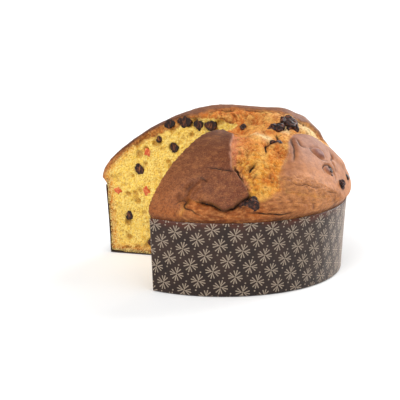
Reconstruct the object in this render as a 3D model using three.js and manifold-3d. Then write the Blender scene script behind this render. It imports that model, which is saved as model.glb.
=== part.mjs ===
// A low panettone baked in its paper mould, with one wedge cut out of it.
// Millimetres, +Z up. The loaf stands on its paper base at z = 0.
import * as THREE from 'three';
import { mergeVertices } from 'three/addons/utils/BufferGeometryUtils.js';
import Module from 'manifold-3d';

const wasm = await Module();
wasm.setup();

// ---- driving dimensions ------------------------------------------------------------------------
const MOULD_RADIUS = 102;        // outside of the paper at the table
const MOULD_TOP_RADIUS = 105.7;  // outside of the paper at its upper edge
const MOULD_HEIGHT = 60.5;
const PAPER = 0.6;               // thickness of the paper, glue included
const GAP = 0.3;                 // clearance kept between pieces that touch
const HEM_WIDTH = 10.5;          // lower edge of the wall, folded in over the base disc

const CRUST_RADIUS = 107.4;      // the dough bulges over the paper
const CRUST_LEVEL = 66;          // height of that widest line
const DOME_RISE = 61.2;
const DOME_ROUNDNESS = 0.62;     // 0.5 is an ellipse, 1 a parabola
const DOME_TILT = { x: 9.8, y: 4.9 };

const CUT_POINT = { x: 14, y: 0 };   // upright line where the two knife cuts meet
const FAR_CUT = 165;                 // direction of each cut, degrees from +X
const NEAR_CUT = 231.3;
const CUT_REACH = 200;

const ROUND_STEPS = 80;          // facets round the mould
const DOME_RINGS = 14;

// soft swellings and hollows of the dome: centre, spread along x and y, height
const SWELLINGS = [
  { x: 14.7, y: -14.5, wide: 15.4, deep: 15.4, height: -12.7 },  // torn middle
  { x: -10.3, y: 35.0, wide: 40.3, deep: 21.6, height: 6.6 },    // ridge behind the tear
  { x: 63.5, y: 29.9, wide: 17.6, deep: 31.9, height: 12.1 },    // shoulder of the right-hand lobe
];

// fruit that stands out of the crust: place in plan, half sizes along, across and outwards, turn, share sunk
const CRUST_RAISINS = [
  { x: 15.6, y: -103.2, half: [4.0, 3.6, 3.3], turn: 10, sunk: 0.45 },
  { x: 25.0, y: -101.3, half: [4.4, 4.3, 3.8], turn: 80, sunk: 0.45 },
  { x: 17.6, y: -4.0, half: [2.9, 2.0, 2.0], turn: 50, sunk: 0.4 },
  { x: 45.3, y: -23.0, half: [6.4, 4.2, 3.8], turn: 20, sunk: 0.35 },
  { x: 55.8, y: -10.5, half: [7.6, 6.0, 4.6], turn: 130, sunk: 0.35 },
  { x: 42.9, y: -47.6, half: [4.4, 2.2, 2.2], turn: 15, sunk: 0.5 },
  { x: 87.3, y: -42.3, half: [5.4, 3.3, 3.0], turn: 115, sunk: 0.75 },
  { x: 96.7, y: -40.8, half: [4.4, 3.0, 2.8], turn: 70, sunk: 0.4 },
  { x: 103.0, y: -16.0, half: [3.9, 2.8, 2.6], turn: 20, sunk: 0.3 },
  { x: -28.0, y: 74.0, half: [5.2, 4.0, 3.4], turn: 35, sunk: 0.4 },
  { x: -61.0, y: 56.0, half: [4.4, 3.4, 3.0], turn: 140, sunk: 0.5 },
  { x: 4.0, y: 92.0, half: [5.0, 3.8, 3.2], turn: 75, sunk: 0.45 },
  { x: 37.0, y: 66.0, half: [5.6, 4.2, 3.6], turn: 10, sunk: 0.4 },
  { x: 46.0, y: 72.5, half: [3.6, 2.8, 2.6], turn: 100, sunk: 0.5 },
  { x: 72.0, y: 50.0, half: [4.8, 3.6, 3.2], turn: 60, sunk: 0.45 },
  { x: 94.0, y: 26.0, half: [4.6, 3.6, 3.0], turn: 25, sunk: 0.5 },
];

// fruit in the cut faces: distance from the cut point, height, half sizes along, up and inwards, turn
const FAR_RAISINS = [
  { along: 60.5, up: 117.0, half: [5.4, 3.4, 3.8], turn: -20 },
  { along: 47.2, up: 120.2, half: [6.6, 4.6, 4.6], turn: 12 },
  { along: 35.0, up: 118.0, half: [4.2, 4.9, 4.2], turn: 25 },
  { along: 24.6, up: 117.4, half: [5.6, 4.7, 4.6], turn: -15 },
  { along: 56.6, up: 96.8, half: [4.4, 4.0, 3.8], turn: 30 },
  { along: 70.5, up: 103.5, half: [3.0, 2.5, 2.8], turn: -40 },
  { along: 88.0, up: 76.0, half: [4.6, 3.8, 3.6], turn: 50 },
  { along: 36.0, up: 72.0, half: [4.2, 4.8, 4.0], turn: 20 },
  { along: 63.0, up: 47.0, half: [5.0, 3.8, 4.2], turn: -35 },
  { along: 98.0, up: 34.0, half: [4.0, 3.4, 3.6], turn: 65 },
  { along: 31.0, up: 27.0, half: [4.4, 3.6, 3.8], turn: 10 },
  { along: 77.0, up: 12.0, half: [4.8, 3.8, 4.0], turn: -60 },
];
const NEAR_RAISINS = [
  { along: 33.0, up: 99.0, half: [4.6, 3.8, 4.0], turn: 35 },
  { along: 66.0, up: 84.0, half: [4.2, 4.8, 4.2], turn: -20 },
  { along: 94.0, up: 70.0, half: [3.8, 3.2, 3.4], turn: 60 },
  { along: 44.0, up: 59.0, half: [4.9, 4.0, 4.0], turn: 15 },
  { along: 80.0, up: 40.0, half: [4.0, 4.6, 4.2], turn: -50 },
  { along: 18.0, up: 40.0, half: [4.2, 3.4, 3.6], turn: 70 },
  { along: 57.0, up: 18.0, half: [5.0, 3.8, 3.8], turn: -10 },
  { along: 97.0, up: 13.0, half: [3.6, 4.4, 3.6], turn: 25 },
];
const FAR_ORANGE = [
  { along: 45.0, up: 86.0, half: [3.2, 2.2, 2.4], turn: 35 },
  { along: 81.0, up: 91.0, half: [2.6, 2.8, 2.4], turn: 10 },
  { along: 22.0, up: 58.0, half: [2.5, 3.0, 2.4], turn: -25 },
  { along: 82.0, up: 57.0, half: [3.2, 2.1, 2.4], turn: 60 },
  { along: 49.0, up: 33.0, half: [2.7, 2.4, 2.4], turn: 20 },
  { along: 108.0, up: 56.0, half: [2.3, 2.8, 2.4], turn: -40 },
  { along: 16.0, up: 92.0, half: [2.4, 2.2, 2.2], turn: 45 },
];
const NEAR_ORANGE = [
  { along: 51.0, up: 93.0, half: [2.7, 2.4, 2.4], turn: -30 },
  { along: 19.0, up: 78.0, half: [3.1, 2.1, 2.4], turn: 20 },
  { along: 72.0, up: 62.0, half: [2.4, 3.0, 2.4], turn: 40 },
  { along: 31.0, up: 24.0, half: [2.8, 2.5, 2.4], turn: 65 },
  { along: 60.0, up: 42.0, half: [3.2, 2.2, 2.4], turn: -55 },
  { along: 100.0, up: 44.0, half: [2.4, 2.6, 2.4], turn: 5 },
  { along: 78.0, up: 17.0, half: [2.9, 2.2, 2.4], turn: -15 },
];

// ---- materials ---------------------------------------------------------------------------------
const crustAndCrumb = () => new THREE.MeshStandardMaterial({ color: 0xb87842, roughness: 0.8, metalness: 0 });
const raisinSkin = () => new THREE.MeshStandardMaterial({ color: 0x3a2018, roughness: 0.45, metalness: 0 });
const candiedPeel = () => new THREE.MeshStandardMaterial({ color: 0xd8641e, roughness: 0.35, metalness: 0 });
const bakingPaper = () => new THREE.MeshStandardMaterial({ color: 0x4a3a34, roughness: 0.55, metalness: 0 });

// ---- solids ------------------------------------------------------------------------------------
const radians = THREE.MathUtils.degToRad;

// turns a closed three.js geometry into a solid, without the flat triangles at its poles
function solidOf(geometry) {
  const bare = geometry.clone();
  bare.deleteAttribute('normal');
  bare.deleteAttribute('uv');
  const merged = mergeVertices(bare, 1e-4);
  const corners = [];
  for (let i = 0; i < merged.index.count; i += 3) {
    const triangle = [0, 1, 2].map((k) => merged.index.getX(i + k));
    if (new Set(triangle).size === 3) corners.push(...triangle);
  }
  return new wasm.Manifold(new wasm.Mesh({
    numProp: 3,
    vertProperties: new Float32Array(merged.attributes.position.array),
    triVerts: new Uint32Array(corners),
  }));
}

function meshOf(name, solid, material) {
  const result = solid.getMesh();
  const geometry = new THREE.BufferGeometry();
  geometry.setAttribute('position', new THREE.BufferAttribute(result.vertProperties, 3));
  geometry.setIndex(new THREE.BufferAttribute(result.triVerts, 1));
  geometry.computeVertexNormals();
  const mesh = new THREE.Mesh(geometry, material);
  mesh.name = name;
  return mesh;
}

// spins an outline of [radius, height] points about the mould's axis
function turned(outline) {
  const points = outline.map(([radius, height]) => new THREE.Vector2(radius, height));
  return new THREE.LatheGeometry(points, ROUND_STEPS).rotateX(Math.PI / 2);
}

const cutPointAt = (direction, along) => new THREE.Vector2(
  CUT_POINT.x + along * Math.cos(radians(direction)),
  CUT_POINT.y + along * Math.sin(radians(direction)),
);

// the wedge that was taken out, from below the base to above the crust
function missingWedge() {
  const outline = new THREE.Shape([
    new THREE.Vector2(CUT_POINT.x, CUT_POINT.y),
    cutPointAt(FAR_CUT, CUT_REACH),
    cutPointAt((FAR_CUT + NEAR_CUT) / 2, CUT_REACH),
    cutPointAt(NEAR_CUT, CUT_REACH),
  ]);
  const wedge = new THREE.ExtrudeGeometry(outline, { depth: CUT_REACH, bevelEnabled: false });
  return solidOf(wedge.translate(0, 0, -CUT_REACH / 8));
}

// ---- bread -------------------------------------------------------------------------------------
function crustHeight(x, y) {
  let rise = DOME_RISE + (DOME_TILT.x * x + DOME_TILT.y * y) / CRUST_RADIUS;
  for (const s of SWELLINGS) {
    const spread = ((x - s.x) / s.wide) ** 2 + ((y - s.y) / s.deep) ** 2;
    rise += s.height * Math.exp(-spread / 2);
  }
  const inside = Math.max(0, 1 - (x * x + y * y) / CRUST_RADIUS ** 2);
  return CRUST_LEVEL + rise * inside ** DOME_ROUNDNESS;
}

function breadSolid() {
  const hemLevel = PAPER + GAP + PAPER + GAP;
  const hemEdge = MOULD_RADIUS - PAPER - HEM_WIDTH;
  const outline = [
    [0, PAPER + GAP],
    [hemEdge - 2 * GAP, PAPER + GAP],
    [hemEdge - GAP / 2, hemLevel],
    [MOULD_RADIUS - PAPER - GAP, hemLevel],
    [MOULD_TOP_RADIUS - PAPER - GAP, MOULD_HEIGHT + 2 * GAP],
  ];
  for (let ring = 0; ring <= DOME_RINGS; ring += 1) {
    const angle = (Math.PI / 2) * (1 - ring / DOME_RINGS);
    outline.push([ring === DOME_RINGS ? 0 : CRUST_RADIUS * Math.sin(angle), CRUST_LEVEL + ring]);
  }
  const geometry = turned(outline);
  const position = geometry.attributes.position;
  for (let i = 0; i < position.count; i += 1) {
    if (position.getZ(i) > CRUST_LEVEL - GAP) {
      position.setZ(i, crustHeight(position.getX(i), position.getY(i)));
    }
  }
  return solidOf(geometry);
}

// ---- paper mould -------------------------------------------------------------------------------
function mouldWallSolid() {
  const inner = MOULD_RADIUS - PAPER;
  const hemUnder = PAPER + GAP;
  return solidOf(turned([
    [MOULD_RADIUS, 0],
    [MOULD_TOP_RADIUS, MOULD_HEIGHT],
    [MOULD_TOP_RADIUS - PAPER, MOULD_HEIGHT],
    [inner, hemUnder + PAPER],
    [inner - HEM_WIDTH, hemUnder + PAPER],
    [inner - HEM_WIDTH, hemUnder],
    [inner, hemUnder],
    [inner, 0],
    [MOULD_RADIUS, 0],
  ]));
}

function mouldBaseSolid() {
  const radius = MOULD_RADIUS - PAPER - GAP;
  return solidOf(turned([[0, 0], [radius, 0], [radius, PAPER], [0, PAPER]]));
}

// ---- fruit -------------------------------------------------------------------------------------
const raisinShape = (half, grow) => new THREE.IcosahedronGeometry(1, 1)
  .scale(half[0] + grow, half[1] + grow, half[2] + grow);
const cubeShape = (half, grow) => new THREE.BoxGeometry(
  2 * (half[0] + grow),
  2 * (half[1] + grow),
  2 * (half[2] + grow),
);

// a frame on the crust, its third axis along the outward normal and its origin a little inside
function crustPlace({ x, y, half, turn, sunk }) {
  const step = 0.5;
  const slopeX = (crustHeight(x + step, y) - crustHeight(x - step, y)) / (2 * step);
  const slopeY = (crustHeight(x, y + step) - crustHeight(x, y - step)) / (2 * step);
  const outwards = new THREE.Vector3(-slopeX, -slopeY, 1).normalize();
  const place = new THREE.Vector3(x, y, crustHeight(x, y)).addScaledVector(outwards, -sunk * half[2]);
  const lean = new THREE.Quaternion().setFromUnitVectors(new THREE.Vector3(0, 0, 1), outwards);
  const spin = new THREE.Quaternion().setFromAxisAngle(new THREE.Vector3(0, 0, 1), radians(turn));
  return new THREE.Matrix4().compose(place, lean.multiply(spin), new THREE.Vector3(1, 1, 1));
}

// a frame on a cut face, its first axis along the cut and its second one up
function cutPlace(direction, intoBread) {
  return ({ along, up, half, turn }) => {
    const foot = cutPointAt(direction, along);
    const sideways = radians(direction + 90 * intoBread);
    const depth = half[2] * 0.3;
    const place = new THREE.Vector3(
      foot.x + depth * Math.cos(sideways),
      foot.y + depth * Math.sin(sideways),
      up,
    );
    const upright = new THREE.Quaternion().setFromAxisAngle(new THREE.Vector3(0, 0, 1), radians(direction));
    const raised = new THREE.Quaternion().setFromAxisAngle(new THREE.Vector3(1, 0, 0), Math.PI / 2);
    const spin = new THREE.Quaternion().setFromAxisAngle(new THREE.Vector3(0, 0, 1), radians(turn));
    return new THREE.Matrix4().compose(place, upright.multiply(raised).multiply(spin), new THREE.Vector3(1, 1, 1));
  };
}

const farPlace = cutPlace(FAR_CUT, -1);
const nearPlace = cutPlace(NEAR_CUT, 1);
const FRUIT = [
  { name: 'raisin_crust', items: CRUST_RAISINS, place: crustPlace, shape: raisinShape, material: raisinSkin },
  { name: 'raisin_far_cut', items: FAR_RAISINS, place: farPlace, shape: raisinShape, material: raisinSkin },
  { name: 'raisin_near_cut', items: NEAR_RAISINS, place: nearPlace, shape: raisinShape, material: raisinSkin },
  { name: 'orange_far_cut', items: FAR_ORANGE, place: farPlace, shape: cubeShape, material: candiedPeel },
  { name: 'orange_near_cut', items: NEAR_ORANGE, place: nearPlace, shape: cubeShape, material: candiedPeel },
];

// ---- assembly ----------------------------------------------------------------------------------
const wedge = missingWedge();
let bread = breadSolid().subtract(wedge);
const loaf = new THREE.Group();
loaf.name = 'panettone';

for (const { name, items, place, shape, material } of FRUIT) {
  items.forEach((item, index) => {
    const matrix = place(item);
    const pocket = solidOf(shape(item.half, GAP + 0.1).applyMatrix4(matrix));
    const fruit = solidOf(shape(item.half, 0).applyMatrix4(matrix)).subtract(wedge);
    bread = bread.subtract(pocket);
    loaf.add(meshOf(`${name}_${String(index + 1).padStart(2, '0')}`, fruit, material()));
  });
}
loaf.add(meshOf('bread', bread, crustAndCrumb()));
loaf.add(meshOf('mould_wall', mouldWallSolid().subtract(wedge), bakingPaper()));
loaf.add(meshOf('mould_base', mouldBaseSolid().subtract(wedge), bakingPaper()));

// the origin is the middle of the foot of the whole loaf's box
const box = new THREE.Box3().setFromObject(loaf);
loaf.position.x = -(box.min.x + box.max.x) / 2;
loaf.position.y = -(box.min.y + box.max.y) / 2;

export default loaf;
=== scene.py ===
import functools
import math
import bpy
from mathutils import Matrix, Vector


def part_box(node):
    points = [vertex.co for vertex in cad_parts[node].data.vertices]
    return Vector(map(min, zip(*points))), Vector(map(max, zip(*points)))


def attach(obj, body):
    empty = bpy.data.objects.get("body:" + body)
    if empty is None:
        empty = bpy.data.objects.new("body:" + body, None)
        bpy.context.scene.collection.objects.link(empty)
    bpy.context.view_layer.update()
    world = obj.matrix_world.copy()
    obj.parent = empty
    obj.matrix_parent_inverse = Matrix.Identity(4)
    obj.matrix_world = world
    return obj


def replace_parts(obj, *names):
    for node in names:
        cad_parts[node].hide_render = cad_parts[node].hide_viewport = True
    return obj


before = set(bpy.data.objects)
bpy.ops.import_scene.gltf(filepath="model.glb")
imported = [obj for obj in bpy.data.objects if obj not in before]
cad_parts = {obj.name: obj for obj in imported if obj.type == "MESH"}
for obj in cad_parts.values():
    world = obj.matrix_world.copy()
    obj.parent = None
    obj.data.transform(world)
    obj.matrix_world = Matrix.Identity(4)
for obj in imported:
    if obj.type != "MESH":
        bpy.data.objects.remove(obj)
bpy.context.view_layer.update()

from types import SimpleNamespace

import bmesh
import bpy
import numpy as np
from mathutils import Matrix, Vector

# A cut low panettone: the bread with its split crust and open crumb, its fruit, and its printed paper mould.
# The shaping is done in millimetres from the mould's axis, and each finished piece is put in metres.
MM = 0.001

# ---- where the mould stands -------------------------------------------------------------------
wall_low, wall_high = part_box("mould_wall")
MOULD_TOP_RADIUS = (wall_high.y - wall_low.y) / 2 / MM
MOULD_HEIGHT = wall_high.z / MM
MOULD_FLARE = 3.7
MOULD_RADIUS = MOULD_TOP_RADIUS - MOULD_FLARE
AXIS = Vector((wall_high.x / MM - MOULD_TOP_RADIUS, (wall_low.y + wall_high.y) / 2 / MM, 0))
PAPER = 0.6             # thickness of the paper
PAPER_GAP = 0.3         # clearance between the paper and what it touches
HEM_WIDTH = 10.5        # lower edge of the wall, folded in over the base

# ---- the dough's own form ---------------------------------------------------------------------
CRUST_RADIUS = 107.4    # the dough bulges over the paper
CRUST_LEVEL = 66.0      # height of that widest line
DOME_RISE = 61.2
DOME_ROUNDNESS = 0.62   # 0.5 is an ellipse, 1 a parabola
DOME_TILT = (9.8, 4.9)  # how much higher the dome's right side and back are
SWELLINGS = (
    # centre x, y, spread along x, along y, height
    (14.7, -14.5, 15.4, 15.4, -12.7),
    (-10.3, 35.0, 40.3, 21.6, 6.6),
    (63.5, 29.9, 17.6, 31.9, 12.1),
)
CUT_POINT = np.array([14.0, 0.0])   # upright line where the two knife cuts meet
FAR_CUT = math.radians(165)
NEAR_CUT = math.radians(231.3)
CUTS = ((FAR_CUT, 1), (NEAR_CUT, -1))   # direction of each cut, and the side of it that the wedge is on

BREAD_GRAIN = 1.1       # size of the crust's and crumb's smallest facets
BREAD_HIDDEN = 61.5     # below this level the paper covers the bread's side
RIM_DEPTH = 6.5         # how far the torn crust hangs over the far cut, above its raisins
KEPT_SHARE = 0.71       # share of the facets left once the hidden side and underside are thinned
FAR_OFF = 9.0           # half widths away from a dark line that count as out of its reach


# ---- small tools ------------------------------------------------------------------------------
def ease(value, low, high):
    share = np.clip((value - low) / (high - low), 0, 1)
    return share * share * (3 - 2 * share)


def bell(distance, width):
    return np.exp(-0.5 * (distance / width) ** 2)


def scramble(cell, seed):
    """A fixed draw between 0 and 1 for each whole-numbered cell."""
    key = cell * np.array([73856093, 19349663, 83492791])
    code = (key[:, 0] ^ key[:, 1] ^ key[:, 2]) + 2654435761 * seed
    code = (code ^ (code >> 13)) * 1274126177 & 0xFFFFFFFF
    return ((code ^ (code >> 16)) & 0xFFFF) / 65535


def grain(points, size, seed, octaves=1):
    """Smooth lumpy noise between about -1 and 1, repeatable from its seed."""
    total = np.zeros(len(points))
    weight = 1.0
    reach = 0.0
    for octave in range(octaves):
        spot = points / (size / 2 ** octave) + 31.7 * (seed + 7 * octave)
        cell = np.floor(spot).astype(np.int64)
        part = spot - cell
        part = part * part * part * (part * (part * 6 - 15) + 10)
        value = np.zeros(len(points))
        for corner in range(8):
            step = np.array([corner & 1, corner >> 1 & 1, corner >> 2 & 1])
            share = np.where(step, part, 1 - part).prod(axis=1)
            value += share * (2 * scramble(cell + step, seed + octave) - 1)
        total += weight * value
        reach += weight
        weight *= 0.5
    return total / reach * 1.4


def cells(points, size, seed):
    """Scattered centres: distance to the nearest, its lead over the next one, and a draw of its own."""
    spot = points / size + 13.1 * seed
    base = np.floor(spot).astype(np.int64)
    first = np.full(len(points), 9.0)
    second = np.full(len(points), 9.0)
    lot = np.zeros(len(points))
    for step in np.ndindex(3, 3, 3):
        cell = base + np.array(step) - 1
        draws = [scramble(cell, seed + 50 * axis) for axis in range(4)]
        gap = np.linalg.norm(spot - cell - np.stack(draws[:3], axis=1), axis=1)
        closer = gap < first
        second = np.where(closer, first, np.minimum(second, gap))
        first = np.where(closer, gap, first)
        lot = np.where(closer, draws[3], lot)
    return first, second - first, lot


def smooth_path(points):
    """A soft curve through a few points, as many short straight pieces."""
    points = np.array(points, float)
    ends = np.vstack([2 * points[0] - points[1], points, 2 * points[-1] - points[-2]])
    steps = 6
    curve = []
    for a, b, c, d in zip(ends, ends[1:], ends[2:], ends[3:]):
        for t in np.arange(steps) / steps:
            curve.append(0.5 * (2 * b + (c - a) * t + (2 * a - 5 * b + 4 * c - d) * t ** 2
                                + (3 * b - a - 3 * c + d) * t ** 3))
    curve.append(ends[-2])
    return np.array(curve)


def near_path(spots, path):
    """Distance from each spot to a path, positive on its left, and how far along it, from 0 to 1."""
    best = np.full(len(spots), 1e9)
    side = np.ones(len(spots))
    along = np.zeros(len(spots))
    lengths = np.linalg.norm(np.diff(path, axis=0), axis=1)
    starts = np.concatenate([[0], np.cumsum(lengths)])
    for i, (a, b) in enumerate(zip(path, path[1:])):
        run = b - a
        share = np.clip(((spots - a) @ run) / max(run @ run, 1e-9), 0, 1)
        gap = spots - (a + share[:, None] * run)
        distance = np.hypot(gap[:, 0], gap[:, 1])
        nearer = distance < best
        turn = run[0] * gap[:, 1] - run[1] * gap[:, 0]
        side = np.where(nearer, np.where(turn < 0, -1.0, 1.0), side)
        along = np.where(nearer, (starts[i] + share * lengths[i]) / starts[-1], along)
        best = np.where(nearer, distance, best)
    return best * side, along


def inside_outline(spots, outline):
    """Distance to a closed outline, positive inside it."""
    path = np.vstack([outline, outline[:1]])
    distance, _ = near_path(spots, path)
    crossings = np.zeros(len(spots), int)
    for a, b in zip(path, path[1:]):
        spans = (a[1] > spots[:, 1]) != (b[1] > spots[:, 1])
        rise = b[1] - a[1] if b[1] != a[1] else 1e-9
        crossings += spans & (spots[:, 0] < (b[0] - a[0]) * (spots[:, 1] - a[1]) / rise + a[0])
    return np.where(crossings % 2 == 1, 1, -1) * np.abs(distance)


def linear(colour):
    """A colour as the eye reads it, 0 to 255, made linear."""
    share = np.array(colour, float) / 255
    return np.where(share <= 0.04045, share / 12.92, ((share + 0.055) / 1.055) ** 2.4)


def mesh_points(mesh):
    flat = np.empty(len(mesh.vertices) * 3)
    mesh.vertices.foreach_get("co", flat)
    return flat.reshape(-1, 3)


def set_mesh_points(mesh, points):
    mesh.vertices.foreach_set("co", np.ascontiguousarray(points, dtype=np.float32).ravel())
    mesh.update()


def add_share(mesh, name, values):
    mesh.attributes.new(name, "FLOAT", "POINT").data.foreach_set("value", values.astype(np.float32))


def add_tint(mesh, name, colours):
    rgba = np.ones((len(colours), 4), np.float32)
    rgba[:, :3] = colours
    mesh.attributes.new(name, "FLOAT_COLOR", "POINT").data.foreach_set("color", rgba.ravel())


def place_points(mesh, points):
    """Puts points in millimetres from the mould's axis where they stand, in metres."""
    set_mesh_points(mesh, (points + np.array(AXIS)) * MM)


def mesh_from(bm, name):
    mesh = bpy.data.meshes.new(name)
    bm.to_mesh(mesh)
    bm.free()
    return mesh


def in_scene(name, data):
    thing = bpy.data.objects.new(name, data)
    bpy.context.scene.collection.objects.link(thing)
    return thing


def new_piece(name, mesh, material):
    mesh.name = name
    piece = in_scene(name, mesh)
    mesh.materials.clear()
    mesh.materials.append(material)
    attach(piece, "root")
    return piece


def with_modifier(mesh, kind, group=(), **settings):
    """The mesh as one modifier leaves it, with the points that it may change in a group."""
    holder = in_scene("bench", mesh)
    if len(group):
        holder.vertex_groups.new(name="chosen").add([int(i) for i in group], 1.0, "REPLACE")
        settings["vertex_group"] = "chosen"
    modifier = holder.modifiers.new(kind.lower(), kind)
    for key, value in settings.items():
        setattr(modifier, key, value)
    graph = bpy.context.evaluated_depsgraph_get()
    result = bpy.data.meshes.new_from_object(holder.evaluated_get(graph), preserve_all_data_layers=True,
                                             depsgraph=graph)
    bpy.data.objects.remove(holder)
    return result


# ---- the dough's surface ----------------------------------------------------------------------
def crust_height(x, y):
    rise = DOME_RISE + (DOME_TILT[0] * x + DOME_TILT[1] * y) / CRUST_RADIUS
    for centre_x, centre_y, wide, deep, height in SWELLINGS:
        rise = rise + height * np.exp(-(((x - centre_x) / wide) ** 2 + ((y - centre_y) / deep) ** 2) / 2)
    inside = np.clip(1 - (x * x + y * y) / CRUST_RADIUS ** 2, 0, 1)
    return CRUST_LEVEL + rise * inside ** DOME_ROUNDNESS


def crust_outwards(points):
    """Unit directions out of the crust at, or above, each point."""
    x, y = points[:, 0], points[:, 1]
    radius = np.hypot(x, y)
    hold = np.minimum(1, (CRUST_RADIUS - 1.2) / np.maximum(radius, 1e-6))
    x, y = x * hold, y * hold
    step = 0.4
    slope_x = (crust_height(x + step, y) - crust_height(x - step, y)) / (2 * step)
    slope_y = (crust_height(x, y + step) - crust_height(x, y - step)) / (2 * step)
    out = np.stack([-slope_x, -slope_y, np.ones(len(x))], axis=1)
    return out / np.linalg.norm(out, axis=1)[:, None]


def crust_depth(points):
    """How far each point lies under the crust, along its normal."""
    out = crust_outwards(points)
    drop = (crust_height(points[:, 0], points[:, 1]) - points[:, 2]) * out[:, 2]
    side = CRUST_RADIUS - np.hypot(points[:, 0], points[:, 1])
    return np.minimum(drop, side)


SKIN_CENTRE = 60.0      # height of the point on the axis that the crust is laid flat from
SKIN_SQUASH = 1.65
SKIN_REACH = 89.1       # millimetres of laid-flat crust for each radian away from the top


def skin_map(points):
    """The crust laid flat: millimetres to the right and to the back, measured over the crust from its top."""
    radius = np.hypot(points[:, 0], points[:, 1])
    lean = np.arctan2(radius, SKIN_SQUASH * (points[:, 2] - SKIN_CENTRE))
    turn = np.arctan2(points[:, 1], points[:, 0])
    return np.stack([SKIN_REACH * lean * np.cos(turn), SKIN_REACH * lean * np.sin(turn)], axis=1)


def cut_distance(points, direction, into_wedge):
    """How far each point is from a cut plane, positive in the missing wedge, and how far along the cut."""
    along = np.array([math.cos(direction), math.sin(direction)])
    outward = into_wedge * np.array([-along[1], along[0]])
    offset = points[:, :2] - CUT_POINT
    return offset @ outward, offset @ along, outward


# ---- lobes and tears, on the crust laid flat --------------------------------------------------
# each edge keeps its raised, smooth-skinned side on the left
FRONT_LOBE_EDGE = smooth_path([
    (-27, -109), (-24, -112.5), (-16, -115), (-11, -117), (-6, -120), (1, -124), (9, -122),
    (14, -118), (18, -113), (22.5, -109), (22, -104), (18, -98), (14, -90), (9, -82), (7, -75), (6, -60),
    (6.5, -45), (8, -24), (2, -16), (-8, -15),
])
RIGHT_LOBE_EDGE = smooth_path([
    (122, 10), (97, -2), (83, -9), (70, -12), (62, -14), (54, -20), (47.5, -28), (46, -38), (48, -52),
    (47, -66), (47, -85), (52, -96),
])
BACK_LOBE_EDGE = smooth_path([
    (-60, 14), (-40, 10), (-22, 8), (-15, 7), (-8, 10), (-1, 12), (9, 13), (18, 13), (25, 11), (36, 5),
    (46, 1), (58, 2), (68, 4), (85, 12), (110, 24), (132, 36),
])
BACK_TEAR = smooth_path([(4, 36), (20, 56), (17, 80), (33, 104), (34, 132)])
LEFT_TEAR = smooth_path([(-30, 46), (-58, 56), (-70, 84), (-98, 100)])
BACK_BRANCH = smooth_path([(17, 84), (2, 98), (-4, 116)])

FRONT_LOBE = np.vstack([FRONT_LOBE_EDGE, [(-70, -5), (-150, -60), (-120, -150), (-60, -150), (-38, -124)]])
RIGHT_LOBE = np.vstack([RIGHT_LOBE_EDGE, [(64, -94), (84, -86), (108, -66), (150, -50), (150, 15)]])
BACK_LOBE = np.vstack([BACK_LOBE_EDGE, [(150, 60), (120, 150), (-120, 150), (-160, 30)]])
TORN_MIDDLE = np.array([
    (-30, -10), (0, -22), (0, -70), (10, -98), (24, -112), (36, -111), (46, -99), (54, -90), (56, -30),
    (72, -16), (126, 2), (134, 40), (60, 14), (0, 24), (-50, 20),
])

# creases in the smooth skin: path, depth, width, darkness of the painted shade in the crease
CREASES = (
    ([(-41, -113), (-35, -109), (-32, -111), (-34, -117), (-28, -123), (-19, -130)], 1.5, 0.9, 0.8),
    ([(-39, -102), (-34, -108), (-29, -115)], 3.4, 2.6, 0.9),
    ([(-20, -92), (-29, -99), (-30, -107)], 3.0, 2.2, 0.9),
    ([(-12, -95), (-20, -99), (-25, -105), (-25, -111)], -2.2, 1.6, 0.0),
    ([(-10, -78), (-5, -79), (1, -82), (9, -85)], 1.9, 0.8, 1.0),
    ([(-8, -81), (0, -85), (8, -88)], -0.9, 1.8, 0.0),
    ([(-18, -88), (-14, -91), (-12, -95)], 1.4, 1.2, 0.6),
    ([(45.5, -30), (50, -41), (53, -51), (54, -60)], 1.5, 1.1, 0.7),
    ([(41.5, -38), (43.5, -48), (45, -56)], -1.2, 2.2, 0.0),
    ([(52, -32), (54, -35), (57, -38), (60, -37)], 1.0, 0.8, 0.6),
    ([(66, -30), (64, -35), (70, -38), (78, -38), (84, -34)], 0.9, 0.7, 0.6),
    ([(84, -53), (81, -48), (82, -42), (87, -38), (93, -40), (97, -45), (98, -51)], 1.4, 0.8, 0.9),
    ([(83, -19), (88, -23), (87, -28), (92, -31), (96, -37)], 1.3, 0.8, 0.9),
    ([(56, -84), (64, -84), (70, -79), (78, -78), (86, -72)], 1.0, 0.6, 0.6),
    ([(92, -72), (99, -67), (106, -61)], 0.9, 0.7, 0.5),
    ([(24, -125), (32, -123), (40, -123.5), (48, -121), (58, -119), (70, -111)], 1.6, 0.9, 1.0),
    ([(50, -110), (62, -104), (75, -98), (88, -90)], 0.7, 0.8, 0.2),
    ([(-52, 60), (-30, 66), (-8, 60)], 0.8, 1.1, 0.4),
    ([(56, 52), (74, 62), (84, 84)], 0.9, 1.1, 0.5),
    ([(-20, 100), (0, 108), (16, 104)], 0.8, 1.0, 0.4),
)
# splits in the torn middle, with painted shade in them: path, depth, width
SPLITS = (
    ([(37, -29), (38.5, -35), (40, -41)], 2.4, 0.8),
    ([(35, -42), (31.5, -48), (32, -54), (31, -59)], 2.8, 0.8),
    ([(25, -71), (23, -76), (21, -82)], 3.4, 1.1),
    ([(9, -73), (11.5, -81), (16, -89.5), (18.5, -95)], 2.4, 1.1),
)
# swells of the shoulder, and raisins under the skin: place, half size, height
BUMPS = (
    (60, 10, 17, 2.2), (92, -10, 20, 1.6), (73, -33, 7, 1.5), (87, -46, 6, 1.3), (-60, -80, 6, 0.4),
    (-40, 60, 6, 1.3), (60, 70, 6, 1.4),
)
LARGEST_RAISIN = 10     # a bump of this half size or more is a swell
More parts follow.
